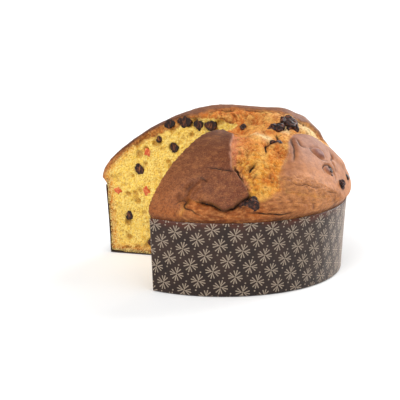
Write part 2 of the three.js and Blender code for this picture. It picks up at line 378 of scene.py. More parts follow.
# pale torn strips: path, half width
STRIPS = (
    ([(38, 3), (46, 0), (54, -4), (62, -6), (74, -6), (92, 1)], 5.0),
    ([(22, -30), (27, -34), (32, -38), (34, -43)], 2.2),
    ([(40, -14), (43, -20), (43, -27)], 2.4),
    ([(6, 40), (19, 57), (18, 80), (32, 104)], 3.0),
)


def ledge(distance, high, low, run_high, run_low, edge):
    """A raised edge: high on the positive side and low on the other, both fading away from it."""
    up = high * np.exp(-np.maximum(distance, 0) / run_high)
    down = -low * np.exp(-np.maximum(-distance, 0) / run_low)
    share = ease(distance, -edge, edge)
    return up * share + down * (1 - share)


def tapered(along):
    return np.sin(np.pi * np.clip(along, 0.02, 0.98)) ** 0.5


def map_lobes(points):
    """Where each point lies among the crust's lobes, tears and low band."""
    spots = skin_map(points) + 1.2 * np.stack([grain(points, 8, seed, 3) for seed in (3, 4)], axis=1)
    front_gap, front_along = near_path(spots, FRONT_LOBE_EDGE)
    right_gap, right_along = near_path(spots, RIGHT_LOBE_EDGE)
    back_gap, back_along = near_path(spots, BACK_LOBE_EDGE)
    front = inside_outline(spots, FRONT_LOBE)
    right = inside_outline(spots, RIGHT_LOBE)
    back = inside_outline(spots, BACK_LOBE)
    ragged = 1 + 0.5 * grain(points, 12, 25, 2)
    for tear, width in ((BACK_TEAR, 8), (LEFT_TEAR, 6.5), (BACK_BRANCH, 4)):
        distance, along = near_path(spots, tear)
        back = np.minimum(back, np.abs(distance) - width * ragged * tapered(along) * (along < 0.98))
    behind = ease(spots[:, 1], 26, 34)
    lobes = np.maximum(np.maximum(front, right), back)
    middle = np.maximum(ease(inside_outline(spots, TORN_MIDDLE), -3, 3), behind)
    torn = (1 - ease(lobes, -2.0, 0.6)) * middle
    band = (1 - torn) * (1 - ease(lobes, -1.5, 1.5))
    return SimpleNamespace(
        spots=spots, front=front, right=right, back=back, behind=behind, torn=torn, band=band,
        front_gap=front_gap, right_gap=right_gap, back_gap=back_gap, front_along=front_along,
        # the back lobe's edge stands highest at its left end
        back_end=1 - 0.4 * ease(back_along, 0.1, 0.3),
        # the front lobe's edge in turn: the crack under it, its lifted flap, its quiet upper edge
        crack=ease(front_along, 0.02, 0.08) * (1 - ease(front_along, 0.34, 0.40)),
        flap=ease(front_along, 0.34, 0.40) * (1 - ease(front_along, 0.58, 0.70)),
        upper=ease(front_along, 0.54, 0.70),
        right_top=1 - ease(right_along, 0.42, 0.55),
        low=np.maximum(band, ease(right, -3, 3) * ease(-spots[:, 1] + 0.3 * spots[:, 0], 84, 100)),
    )


def raise_crust(points, form):
    """Adds the crust's outward shift, in millimetres, with the lumps of its torn middle and low wrinkles."""
    shift = form.crack * ledge(form.front_gap, 2.6, 4.2, 9, 2.4, 0.6)
    shift += form.flap * ledge(form.front_gap, 2.4, 2.6, 7, 4.0, 0.6)
    shift += form.upper * ledge(form.front_gap, 1.6, 1.2, 6, 5.0, 0.8)
    swell = ease(form.right, -4, 8) * (1 - 0.5 * ease(form.right, 9, 40))
    shift += 2.0 * swell * ease(form.spots[:, 1], -100, -80)
    shift += form.right_top * ledge(form.right_gap, 0.9, 1.4, 7, 4, 0.7)
    shift += form.back_end * ledge(form.back_gap, 1.5, 1.4, 7, 5, 0.9)
    shift += 1.6 * ease(form.back, -1.0, 1.5) * form.behind

    # torn middle: lumps with creases between them, and a fibrous break
    form.lumps = grain(points, 13, 11, 3)
    stirred = points + 1.6 * np.stack([grain(points, 5, 41 + i, 2) for i in range(3)], axis=1)
    core, border, _ = cells(stirred, 6.8, 13)
    form.seam = np.exp(-(border / 0.16) ** 2) * ease(grain(points, 15, 14, 2), 0.0, 0.6)
    small_core, _, small_lot = cells(stirred, 2.9, 19)
    form.pit = np.exp(-(small_core / 0.36) ** 2) * (small_lot > 0.78)
    form.fold = np.abs(grain(stirred, 8, 24, 3))
    break_up = 2.0 * form.lumps + 0.4 * (0.5 - core) + 1.7 * (0.3 - form.fold) - 1.3 * form.seam
    shift += form.torn * (break_up - 1.1 * form.pit + 0.35 * grain(points, 2.8, 12, 2))
    # smooth skin: slow swells and faint puckers
    shift += (1 - form.torn) * (0.6 * grain(points, 22, 15, 2) + 0.12 * grain(points, 3.0, 16, 2))
    # low band: lying wrinkles, with thin ridges between them
    lying = points * (1, 1, 2.6)
    form.wrinkle = np.abs(grain(lying, 6.5, 17, 3))
    form.shift = shift + form.low * (0.6 * grain(lying, 14, 18, 2) + 0.9 * (0.3 - form.wrinkle))


# paints shade: darker where the crust is creased, split, cracked or pitted
def paint_shade(form, share):
    form.dark = np.maximum(form.dark, share)


def paint_shade_line(form, distance, half_width, strength):
    """Takes in one painted shade line, along a crack or a lobe's edge: how many half widths away each point
    is from it, and how dark it is.
    """
    steps = distance / half_width
    closer = np.abs(steps) < np.abs(form.line)
    form.line = np.where(closer, steps, form.line)
    form.gloom = np.where(closer, strength, form.gloom)


def mark_crust(points, form):
    """Adds the creases, splits and buried raisins, painted shade in the creases, splits, crack, pits and
    wrinkles, painted shade lines along the cracks and lobe edges, and the pale strips.
    """
    spots = form.spots
    form.dark = np.zeros(len(points))
    form.line = np.full(len(points), FAR_OFF)
    form.gloom = np.zeros(len(points))
    form.bruise = np.zeros(len(points))
    form.pale = np.zeros(len(points))
    for path, depth, width, strength in CREASES:
        distance, along = near_path(spots, smooth_path(path))
        fade = tapered(along)
        form.shift -= depth * bell(distance, width) * fade
        paint_shade(form, 0.5 * strength * bell(distance, width * 0.8) * fade)
        if width < 1.5 and strength > 0:
            paint_shade_line(form, distance, width * 0.75, strength * fade)
    for path, depth, width in SPLITS:
        distance, along = near_path(spots, smooth_path(path))
        fade = tapered(along)
        form.shift -= depth * bell(distance, width) * fade
        paint_shade(form, 0.6 * bell(distance, width) * fade)
        paint_shade_line(form, distance, width * 1.1 * fade, fade)
    for u, v, size, height in BUMPS:
        distance = np.hypot(spots[:, 0] - u, (spots[:, 1] - v) * 1.4)
        form.shift += height * (1 - ease(distance, size * 0.4, size))
        if size < LARGEST_RAISIN:
            form.shift -= 0.4 * bell(distance - size * 1.05, 0.8)
            form.bruise = np.maximum(form.bruise, 1 - ease(distance, size * 0.5, size))
    for path, width in STRIPS:
        distance, along = near_path(spots, smooth_path(path))
        form.pale = np.maximum(form.pale, form.torn * bell(distance, width) * tapered(along))

    # painted shade in the crack under the front lobe and the crevice by its lifted flap, and painted shade
    # lines along these, the right lobe's edge and the back lobe's edge
    paint_shade(form, form.crack * 0.8 * bell(form.front_gap + 0.7, 1.1))
    paint_shade_line(form, form.front_gap + 0.7, 0.6 + 1.3 * ease(form.front_along, 0.2, 0.36), form.crack)
    lower_flap = form.flap * (1 - ease(form.front_along, 0.46, 0.52))
    paint_shade(form, 0.5 * lower_flap * bell(form.front_gap + 1.3, 0.9))
    paint_shade_line(form, form.front_gap + 1.1, 0.7, lower_flap)
    paint_shade(form, form.right_top * 0.45 * bell(form.right_gap + 0.4, 1.0))
    paint_shade_line(form, form.right_gap + 0.2, 0.5, 0.6 * form.right_top)
    here_and_there = ease(grain(points, 9, 26, 2), -0.3, 0.2)
    paint_shade_line(form, form.back_gap + 0.7, 0.6, 0.7 * here_and_there * (1 - form.behind))
    broken = ease(grain(points, 7, 27, 2), -0.2, 0.3)
    paint_shade_line(form, form.back + 0.4, 0.6, 0.7 * broken * form.behind)
    # painted shade down the seams and in the pits of the torn middle, and in the hollows of the low wrinkles
    paint_shade(form, form.torn * 0.25 * form.seam)
    paint_shade(form, form.torn * 0.9 * form.pit)
    paint_shade(form, form.low * 0.35 * ease(form.wrinkle, 0.35, 0.8))

    worn = ease(grain(points, 4, 28, 2), -0.6, 0.3)
    form.edge = (0.9 * form.flap + 0.8 * form.upper * worn) * bell(form.front_gap - 0.1, 0.6)
    lip = ease(form.front_along, 0.36, 0.42) * (1 - ease(form.front_along, 0.8, 0.9))
    form.lip = lip * bell(form.front_gap + 2.4, 1.5)


def sculpt_crust(points):
    """All that the crust's shape and colours need to know at each point."""
    form = map_lobes(points)
    raise_crust(points, form)
    mark_crust(points, form)
    return form


# ---- crust tones ------------------------------------------------------------------------------
TONES = {
    "bark": (106, 44, 8),
    "walnut": (80, 42, 24),
    "chestnut": (116, 66, 38),
    "russet": (160, 88, 36),
    "hazel": (143, 84, 46),
    "toffee": (134, 64, 16),
    "copper": (192, 100, 30),
    "rose": (188, 130, 98),
    "dusky_rose": (152, 98, 74),
    "tan": (208, 138, 84),
    "amber": (226, 132, 52),
    "honey": (240, 158, 74),
    "gold": (242, 170, 56),
    "coral": (230, 138, 94),
    "straw": (250, 196, 104),
    "umber": (138, 88, 60),
    "bruise": (120, 80, 84),
    "ember": (210, 98, 28),
    "toast": (196, 96, 30),
    "biscuit": (206, 120, 56),
    "seam": (168, 82, 26),
    # painted highlight on the ridges of the low wrinkles
    "wrinkle_ridge_highlight": (216, 146, 84),
    # part scorch, part painted shade where the crust overhangs the paper
    "scorch_and_shade": (70, 34, 16),
    "blush": (232, 148, 112),
    "petal": (214, 158, 130),
}
# tone, place on the crust laid flat, spread
FRONT_TONES = (
    ("walnut", -10, -25, 34), ("chestnut", -20, -64, 18), ("bark", 2, -72, 13), ("bark", 6, -98, 15),
    ("chestnut", -16, -92, 16), ("hazel", -40, -90, 18), ("russet", -56, -112, 18), ("russet", -40, -124, 14),
    ("hazel", -60, -70, 26),
)
# along the lobe's left edge, 45 to 50 across, the umber, hazel and russet spots are painted shade on its
# steep side; the rose and dusky_rose tones are partly the crust's colour, partly painted sheen
RIGHT_TONES = (
    ("rose", 70, -54, 15), ("dusky_rose", 58, -26, 14), ("dusky_rose", 84, -22, 16), ("tan", 60, -72, 14),
    ("tan", 104, -50, 16), ("tan", 76, -76, 14), ("tan", 104, -20, 18), ("hazel", 45, -62, 8),
    ("umber", 48, -84, 12), ("umber", 50, -44, 9), ("umber", 49, -64, 9), ("russet", 101, -44, 13),
    ("russet", 46, -52, 7), ("russet", 46, -74, 8),
)
BACK_TONES = (
    ("umber", -10, 25, 26), ("walnut", -60, 40, 34), ("umber", 40, 20, 22), ("chestnut", 70, 30, 26),
    ("umber", -20, 70, 24), ("walnut", 50, 66, 22), ("chestnut", 84, 60, 24), ("tan", 0, 136, 16),
    ("tan", -46, 126, 16), ("tan", -92, 100, 16), ("tan", -122, 52, 16), ("tan", 52, 124, 16),
    ("tan", 96, 96, 16), ("tan", 130, 48, 14), ("russet", 20, 110, 18), ("russet", -60, 96, 18),
)
TORN_TONES = (
    ("coral", 10, -40, 6), ("coral", 11, -60, 6), ("honey", 22, -38, 12), ("gold", 24, -84, 14),
    ("gold", 30, -66, 10), ("amber", 38, -60, 10), ("honey", 30, -20, 12), ("amber", 0, 5, 14),
    ("honey", 40, 0, 14),
    ("gold", 30, -104, 9), ("amber", 42, -88, 8), ("straw", 56, -5, 9), ("honey", 90, 8, 20),
    ("honey", 20, 90, 30),
)
BAND_TONES = (
    ("copper", -24, -119, 7), ("toffee", -2, -130, 11), ("copper", 10, -134, 5), ("toffee", 20, -129, 8),
    ("copper", 34, -128, 8), ("toffee", 50, -124, 10), ("tan", 60, -100, 14), ("russet", 74, -106, 10),
    ("tan", 100, -72, 16), ("tan", 122, -48, 18), ("russet", 130, -20, 16), ("hazel", -46, -128, 14),
)


RIM_TONES = (("honey", -40, 20, 30), ("russet", -10, 12, 16), ("russet", -70, 20, 16))


def blend_tones(spots, tones):
    total = np.zeros((len(spots), 3))
    weight = np.full(len(spots), 1e-9)
    for name, u, v, spread in tones:
        share = bell(np.hypot(spots[:, 0] - u, spots[:, 1] - v), spread) + 1e-7
        total += share[:, None] * linear(TONES[name])
        weight += share
    return total / weight[:, None]


def crust_tint(points, form):
    """The crust's colour at each point, laid down in the order that the crust has them."""
    spots = form.spots
    to_front, to_left = -spots[:, 1], -spots[:, 0]
    ragged = grain(points, 5.0, 21, 3)
    patch = grain(points, 6, 22, 3)
    flap_side = bell(np.hypot(spots[:, 0] - 11, (spots[:, 1] + 48) * 0.35), 5)
    soft_right = 0.8 + 1.6 * ease(to_front, 30, 46) + 3 * ease(to_front, 72, 84)
    soft_front = 0.5 + 6 * ease(to_left, 24, 36) * ease(to_front, 106, 114)
    tint = blend_tones(spots, TORN_TONES)
    for share, tone in (
        # torn crumb: pale in some lumps, toasted or reddish in others, brown down the seams
        (0.55 * ease(patch, 0.05, 0.5) * (1 - 0.8 * flap_side), "straw"),
        (0.5 * ease(-patch, 0.05, 0.6), "ember"),
        (0.45 * ease(form.fold, 0.4, 0.9), "toast"),
        (0.3 * ease(form.lumps, 0.3, 0.9), "biscuit"),
        (0.5 * form.seam, "seam"),
        # the low band and the three lobes
        (form.band, BAND_TONES),
        (ease(form.right / soft_right + 0.5 * ragged, -0.9, 0.9), RIGHT_TONES),
        (ease(form.back + ragged, -0.8, 0.8), BACK_TONES),
        (ease(form.front / soft_front + 0.4 * ragged, -0.9, 0.9), FRONT_TONES),
        # low wrinkles with a painted highlight on their ridges, the dark line over the paper that is part
        # scorch and part painted shade under the crust's overhang, buried raisins, and the flap's edge
        (0.4 * form.low * (1 - ease(form.wrinkle, 0.0, 0.3)), "wrinkle_ridge_highlight"),
        (0.6 * (1 - ease(points[:, 2], 62.2, 64.2)), "scorch_and_shade"),
        (0.7 * form.bruise * (spots[:, 0] > 50), "bruise"),
        (0.8 * form.lip, "blush"),
        (0.55 * form.edge, "petal"),
    ):
        share = np.clip(share, 0, 1)[:, None]
        colour = linear(TONES[tone]) if isinstance(tone, str) else blend_tones(spots, tone)
        tint = tint * (1 - share) + colour * share
    return tint


# ---- bread ------------------------------------------------------------------------------------
def rough_dough():
    """The whole round loaf as it stands in the mould, spun from half its section."""
    foot = PAPER + PAPER_GAP
    hem_edge = MOULD_RADIUS - PAPER - HEM_WIDTH
    outline = [
        (0, foot),
        (hem_edge - 0.5, foot),
        (hem_edge - 0.1, 2 * foot),
        (MOULD_RADIUS - foot, 2 * foot),
        (MOULD_TOP_RADIUS - foot, MOULD_HEIGHT + 2 * PAPER_GAP),
    ]
    rings = 48
    for ring in range(rings):
        outline.append((CRUST_RADIUS * math.cos(math.pi / 2 * ring / rings), CRUST_LEVEL + 1))
    outline.append((0, CRUST_LEVEL + 1))
    bm = bmesh.new()
    corners = [bm.verts.new((radius, 0, height)) for radius, height in outline]
    edges = [bm.edges.new(pair) for pair in zip(corners, corners[1:])]
    bmesh.ops.spin(bm, geom=corners + edges, axis=(0, 0, 1), angle=math.tau, steps=200, use_merge=True)
    bmesh.ops.remove_doubles(bm, verts=bm.verts, dist=1e-3)
    bmesh.ops.recalc_face_normals(bm, faces=bm.faces)
    mesh = mesh_from(bm, "dough")
    points = mesh_points(mesh)
    dome = points[:, 2] > CRUST_LEVEL + 0.5
    points[dome, 2] = crust_height(points[dome, 0], points[dome, 1])
    set_mesh_points(mesh, points)
    return mesh


def wedge_cutter():
    """The missing wedge as a tall prism."""
    bm = bmesh.new()
    reach = 260
    corners = [bm.verts.new((*CUT_POINT, -20))]
    for turn in (FAR_CUT, (FAR_CUT + NEAR_CUT) / 2, NEAR_CUT):
        x = CUT_POINT[0] + reach * math.cos(turn)
        y = CUT_POINT[1] + reach * math.sin(turn)
        corners.append(bm.verts.new((x, y, -20)))
    bottom = bm.faces.new(corners)
    raised = bmesh.ops.extrude_face_region(bm, geom=[bottom])["geom"]
    top = [part for part in raised if isinstance(part, bmesh.types.BMVert)]
    bmesh.ops.translate(bm, verts=top, vec=(0, 0, 200))
    bmesh.ops.recalc_face_normals(bm, faces=bm.faces)
    return mesh_from(bm, "wedge")


def crumb_pores(points, flat, along, seed):
    """How deep each point of a cut face is dented by the crumb's open pores."""
    rng = np.random.default_rng(seed)
    here = np.stack([along, points[:, 2]], axis=1)
    dent = np.zeros(len(points))
    count = 1150
    centres = np.stack([rng.uniform(-2, 124, count), rng.uniform(0, 132, count)], axis=1)
    sizes = 0.8 + 2.4 * rng.power(0.45, count) ** 3
    stretch = rng.uniform(0.75, 1.7, count)
    tilt = rng.normal(0, 0.5, count)
    chosen = np.nonzero(flat)[0]
    for centre, size, tall, lean in zip(centres, sizes, stretch, tilt):
        near = np.abs(here[chosen] - centre) < (2 * size, 2 * size * tall)
        close = chosen[near.all(axis=1)]
        gap = here[close] - centre
        side = gap[:, 0] * math.cos(lean) + gap[:, 1] * math.sin(lean)
        rise = (gap[:, 1] * math.cos(lean) - gap[:, 0] * math.sin(lean)) / tall
        inside = np.clip(1 - (side ** 2 + rise ** 2) / size ** 2, 0, 1)
        dent[close] = np.maximum(dent[close], 0.85 * size * np.sqrt(inside))
    return dent


def fruit_shade_rings(points):
    """A share of painted shade that peaks just round each piece of fruit, where the dough draws back from it.
    """
    ring = np.zeros(len(points))
    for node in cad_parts:
        if node.startswith(("raisin", "orange")):
            low, high = (np.array(corner) / MM - np.array(AXIS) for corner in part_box(node))
            reach = np.linalg.norm((points - (low + high) / 2) / ((high - low) / 2 + 0.6), axis=1)
            depth = 1.0 if node.startswith("raisin") else 0.25
            ring = np.maximum(ring, depth * bell(np.maximum(reach - 1.0, 0), 0.12))
    return ring


def raw_loaf():
    """The loaf with its wedge out, fine-grained where it shows and thinned where the paper hides it."""
    knife = in_scene("knife", wedge_cutter())
    cut = with_modifier(rough_dough(), "BOOLEAN", operation="DIFFERENCE", solver="EXACT", object=knife)
    bpy.data.objects.remove(knife)
    mesh = with_modifier(cut, "REMESH", mode="VOXEL", voxel_size=BREAD_GRAIN, use_smooth_shade=True)
    points = mesh_points(mesh)
    outside = np.hypot(points[:, 0], points[:, 1]) >= MOULD_RADIUS - 8
    off_cuts = np.minimum(*(np.abs(cut_distance(points, *cut)[0]) for cut in CUTS))
    wrapped = (points[:, 2] < BREAD_HIDDEN - 4) & (off_cuts > 3) & (outside | (points[:, 2] < 4))
    mesh = with_modifier(mesh, "DECIMATE", group=np.nonzero(wrapped)[0], ratio=KEPT_SHARE)
    mesh.shade_smooth()
    return mesh


def rind_depth(points, depth):
    """How far each point is from the crust, the paper or the base, whichever is nearest."""
    paper = MOULD_RADIUS + MOULD_FLARE * points[:, 2] / MOULD_HEIGHT - 1
    side = np.where(points[:, 2] < BREAD_HIDDEN + 4, paper - np.hypot(points[:, 0], points[:, 1]), 99)
    return np.minimum(np.minimum(depth, points[:, 2] - 1.8), side)


def open_cuts(points, moved, rind):
    """Presses both cut faces flat but for their pores, and gives the shares of crumb and of pore, where
    painted shade goes in the dents.
    """
    crumb = np.zeros(len(points))
    pore = np.zeros(len(points))
    for (direction, into_wedge), seed in zip(CUTS, (5, 9)):
        distance, along, outward = cut_distance(points, direction, into_wedge)
        flat = (np.abs(distance) < 0.45 * BREAD_GRAIN) & (along > -1)
        ripple = 0.21 * grain(points, 14, seed, 2) + 0.15 * grain(points, 4, seed + 1)
        dent = crumb_pores(points, flat, along, seed) * ease(rind, 1.0, 4.0) + ripple
        off_plane = (moved[:, :2] - CUT_POINT) @ outward
        push = np.where(flat, -np.maximum(dent, 0) - off_plane, 0)
        moved[:, :2] += push[:, None] * outward
        crumb = np.maximum(crumb, (np.abs(distance) < 0.9 * BREAD_GRAIN) & (along > -1))
        pore = np.maximum(pore, np.where(flat, ease(dent, 0.3, 2.2), 0))
    return crumb, pore


def torn_rim(points):
    """How far the torn crust hangs over the far cut."""
    distance, along, _ = cut_distance(points, *CUTS[0])
    hang = RIM_DEPTH * ease(along, 2, 12) * (0.45 + 0.55 * ease(along, 40, 54))
    hang *= 1 - 0.6 * ease(along, 74, 95)
    hang = np.where(np.abs(distance) < 1.5, hang, 0)
    return np.maximum(hang + np.where(hang > 1, 1.6 * grain(points, 7, 61, 3), 0), 0)


def build_bread(material):
    mesh = raw_loaf()
    points = mesh_points(mesh)
    depth = crust_depth(points)
    form = sculpt_crust(points)
    near_skin = np.exp(-np.maximum(depth, 0) / 7.0)
    lift = form.shift * near_skin * ease(points[:, 2], BREAD_HIDDEN, BREAD_HIDDEN + 5)
    moved = points + crust_outwards(points) * lift[:, None]
    rind = rind_depth(points, depth)
    crumb, pore = open_cuts(points, moved, rind)
    place_points(mesh, moved)

    rim = torn_rim(points)
    broken_rim = ease(rim, 0.5, 2) * (1 - ease(depth, rim - 0.5, rim + 1.0)) * ease(depth, 0.5, 2.5)
    tint = crust_tint(points, form)
    tint += broken_rim[:, None] * (blend_tones(form.spots, RIM_TONES) - tint)
    add_tint(mesh, "crust_tone", tint)
    torn_rind = form.torn * ease(points[:, 2], 80, 90)
    baked = np.maximum(ease(form.front, -1, 2), ease(form.back, -1, 2))
    shares = {
        "crumb": crumb * ease(depth, rim + 0.15, rim + 0.7),
        "pore": pore,
        "rind": np.clip((rind + 5 * torn_rind) / 12, 0, 1),
        # dark is painted shade in creases, splits, cracks, pits and wrinkles; line and gloom place the
        # painted shade lines
        "dark": form.dark,
        "pale": form.pale,
        "line": np.clip(form.line, -FAR_OFF, FAR_OFF),
        "gloom": form.gloom,
        "low": form.low,
        "torn": np.maximum(form.torn, broken_rim),
        "grainy": 0.35 + 0.65 * baked,
        # painted shade round each piece of fruit
        "ring": fruit_shade_rings(points),
    }
    for name, values in shares.items():
        add_share(mesh, name, values)
    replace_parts(new_piece("loaf", mesh, material), "bread")


# ---- finishes ---------------------------------------------------------------------------------
class Finish:
    """A node material with short names for the nodes it needs."""

    def __init__(self, name):
        self.material = bpy.data.materials.new(name)
        self.material.use_nodes = True
        self.tree = self.material.node_tree
        self.surface = self.tree.nodes["Principled BSDF"]

    def node(self, kind, **settings):
        made = self.tree.nodes.new(kind)
        for key, value in settings.items():
            setattr(made, key, value)
        return made

    def join(self, value, socket):
        if isinstance(value, bpy.types.NodeSocket):
            self.tree.links.new(value, socket)
        else:
            socket.default_value = value

    def share(self, name):
        return self.node("ShaderNodeAttribute", attribute_name=name).outputs["Fac"]

    def tint(self, name):
        return self.node("ShaderNodeAttribute", attribute_name=name).outputs["Color"]

    def place(self):
        return self.node("ShaderNodeTexCoord").outputs["Object"]

    def height(self, vector):
        parts = self.node("ShaderNodeSeparateXYZ")
        self.join(vector, parts.inputs["Vector"])
        return parts.outputs["Z"]

    def scaled(self, vector, scale):
        mapping = self.node("ShaderNodeMapping")
        self.join(vector, mapping.inputs["Vector"])
        mapping.inputs["Scale"].default_value = scale
        return mapping.outputs["Vector"]

    def noise(self, vector, size, detail, rough):
        made = self.node("ShaderNodeTexNoise")
        self.join(vector, made.inputs["Vector"])
        made.inputs["Scale"].default_value = 1 / (size * MM)
        made.inputs["Detail"].default_value = detail
        made.inputs["Roughness"].default_value = rough
        return made.outputs["Fac"]

    def cells(self, vector, size):
        made = self.node("ShaderNodeTexVoronoi")
        self.join(vector, made.inputs["Vector"])
        made.inputs["Scale"].default_value = 1 / (size * MM)
        return made.outputs["Distance"]

    def veins(self, vector, size, detail, rough):
        """Nothing on thin winding lines, where a noise crosses its middle, and more away from them."""
        return self.math("ABSOLUTE", self.math("SUBTRACT", self.noise(vector, size, detail, rough), 0.5))

    def math(self, operation, a, b=0.0, c=0.0, clamp=False):
        made = self.node("ShaderNodeMath", operation=operation, use_clamp=clamp)
        for value, socket in zip((a, b, c), made.inputs):
            self.join(value, socket)
        return made.outputs["Value"]

    def times(self, a, b):
        return self.math("MULTIPLY", a, b)

    def span(self, value, low, high, to_low=0.0, to_high=1.0):
        made = self.node("ShaderNodeMapRange")
        for entry, amount in zip(made.inputs, (value, low, high, to_low, to_high)):
            self.join(amount, entry)
        return made.outputs["Result"]

    def ramp(self, value, stops):
        made = self.node("ShaderNodeValToRGB")
        self.join(value, made.inputs["Fac"])
        elements = made.color_ramp.elements
        while len(elements) < len(stops):
            elements.new(0.5)
        for element, (position, colour) in zip(elements, stops):
            element.position = position
            element.color = (*linear(colour), 1)
        return made.outputs["Color"]

    def mix(self, share, a, b):
        made = self.node("ShaderNodeMix", data_type="RGBA")
        self.join(share, made.inputs["Factor"])
        for value, socket in ((a, made.inputs[6]), (b, made.inputs[7])):
            if not isinstance(value, bpy.types.NodeSocket):
                value = (*linear(value), 1)
            self.join(value, socket)
        return made.outputs[2]

    def layers(self, under, stack):
        """Colours laid one over another, each as strong as its share times a stretch of its pattern."""
        for share, pattern, stretch, colour in stack:
            under = self.mix(self.times(share, self.span(pattern, *stretch)), under, colour)
        return under

    def bump(self, height, depth, strength, under=None):
        made = self.node("ShaderNodeBump")
        made.inputs["Strength"].default_value = strength
        made.inputs["Distance"].default_value = depth * MM
        self.join(height, made.inputs["Height"])
        if under is not None:
            self.join(under, made.inputs["Normal"])
        return made.outputs["Normal"]

    def finish(self, colour, roughness, normal=None, specular=0.5, scatter=0.0, sheen=0.0):
        self.join(colour, self.surface.inputs["Base Color"])
        self.join(roughness, self.surface.inputs["Roughness"])
        if normal is not None:
            self.join(normal, self.surface.inputs["Normal"])
        self.surface.inputs["Specular IOR Level"].default_value = specular
        self.surface.inputs["Subsurface Weight"].default_value = scatter
        self.surface.inputs["Sheen Weight"].default_value = sheen
        self.surface.inputs["Sheen Roughness"].default_value = 0.35
        self.surface.inputs["Sheen Tint"].default_value = (*linear((255, 226, 204)), 1)
        return self.material


def crust_colour(coat, place, torn):
    """Tone laid down on the mesh, then specks and mottling, torn fibres and low wrinkles with painted
    highlight and painted shade, painted shade in creases and painted shade lines.
    """
    grainy = coat.share("grainy")
    low = coat.share("low")
    mottle = coat.noise(place, 6, 4, 0.6)
    fibres = coat.noise(coat.scaled(place, (1, 1, 0.5)), 1.9, 4, 0.65)
    lying = coat.noise(coat.scaled(place, (1, 1, 2.0)), 5.0, 4, 0.62)
    wrinkles = coat.veins(coat.scaled(place, (1, 1, 2.4)), 9, 3, 0.55)
    ragged = coat.span(coat.noise(place, 3.0, 2, 0.5), 0.3, 0.7, -0.35, 0.35)
    off_line = coat.math("ADD", coat.math("ABSOLUTE", coat.share("line")), ragged)
    crust = coat.layers(coat.tint("crust_tone"), (
        # where, pattern, the stretch of it that counts and how strong it is at each end, colour
        (grainy, coat.noise(place, 1.7, 3, 0.65), (0.42, 0.64, 0.0, 0.55), (60, 26, 10)),
        (grainy, coat.noise(place, 0.8, 2, 0.6), (0.5, 0.66, 0.0, 0.35), (192, 126, 80)),
        (1.0, mottle, (0.45, 0.7, 0.0, 0.35), (96, 44, 18)),
        (1.0, mottle, (0.5, 0.28, 0.0, 0.22), (216, 142, 80)),
        # torn fibres: paler on the raised fibres and darker between them, as the bump below; part the crumb's
        # own strands, part painted highlight and painted shade
        (torn, fibres, (0.5, 0.66, 0.0, 0.5), (254, 204, 112)),
        (torn, fibres, (0.47, 0.3, 0.0, 0.5), (184, 94, 28)),
        (coat.share("pale"), fibres, (0.35, 0.6, 0.35, 0.9), (255, 234, 180)),
        # low band: paler on the raised lying folds and darker in their hollows, as the bump below, with dark
        # wrinkle lines: painted highlight and painted shade
        (low, lying, (0.5, 0.66, 0.0, 0.4), (236, 160, 92)),
        (low, wrinkles, (0.002, 0.012, 0.5, 0.0), (104, 50, 22)),
        (low, lying, (0.46, 0.34, 0.0, 0.3), (120, 58, 24)),
        (torn, coat.veins(place, 3.4, 3, 0.6), (0.004, 0.022, 0.55, 0.0), (136, 62, 18)),
        # painted shade in creases, splits, cracks, pits and wrinkles, then painted shade lines along cracks
        # and lobe edges
        (1.0, coat.share("dark"), (0.0, 1.0, 0.0, 0.95), (44, 18, 6)),
        (coat.share("gloom"), off_line, (1.1, 0.5), (26, 9, 4)),
    ))
    relief = coat.bump(coat.noise(place, 1.2, 2, 0.6), 0.3, 0.7)
    relief = coat.bump(coat.times(torn, fibres), 1.6, 1.0, relief)
    return crust, coat.bump(coat.times(low, lying), 3.2, 1.0, relief)


def crumb_colour(coat, place):
    """From the dark rind to the yellow middle, with paler threads, darker pores and painted shade in the
    dented pores.
    """
    rind = coat.ramp(coat.share("rind"), (
        (0.0, (70, 34, 16)), (0.11, (112, 56, 22)), (0.2, (184, 102, 38)), (0.42, (232, 164, 66)),
        (0.62, (246, 198, 84)), (1.0, (248, 206, 90)),
    ))
    threads = coat.veins(coat.scaled(place, (1, 1, 0.6)), 2.2, 3, 0.6)
    return coat.layers(rind, (
        (1.0, coat.cells(coat.scaled(place, (1, 1, 0.7)), 1.9), (0.1, 0.6, 0.6, 0.0), (202, 136, 36)),
        (1.0, coat.noise(place, 3.0, 4, 0.6), (0.42, 0.7, 0.0, 0.5), (255, 228, 136)),
        (1.0, threads, (0.01, 0.05, 0.6, 0.0), (255, 234, 150)),
        (1.0, coat.cells(place, 1.3), (0.08, 0.4, 0.55, 0.0), (168, 112, 26)),
        # painted shade in the dented pores
        (1.0, coat.share("pore"), (0.0, 1.0, 0.0, 0.6), (160, 98, 24)),
    ))


def bread_finish():
    coat = Finish("crust_and_crumb")
    place = coat.place()
    torn = coat.share("torn")
    crumb = coat.share("crumb")
    crust, crust_relief = crust_colour(coat, place, torn)
    colour = coat.mix(crumb, crust, crumb_colour(coat, place))
    # painted shade round each piece of fruit, in the gap where the dough draws back from it
    colour = coat.mix(coat.times(coat.share("ring"), 0.5), colour, (92, 50, 16))
    relief = coat.bump(coat.times(crumb, coat.cells(place, 1.6)), 0.9, 1.0, crust_relief)
    rough = coat.math("ADD", 0.55, coat.times(coat.math("MAXIMUM", torn, crumb), 0.3))
    return coat.finish(colour, rough, relief, specular=0.25)


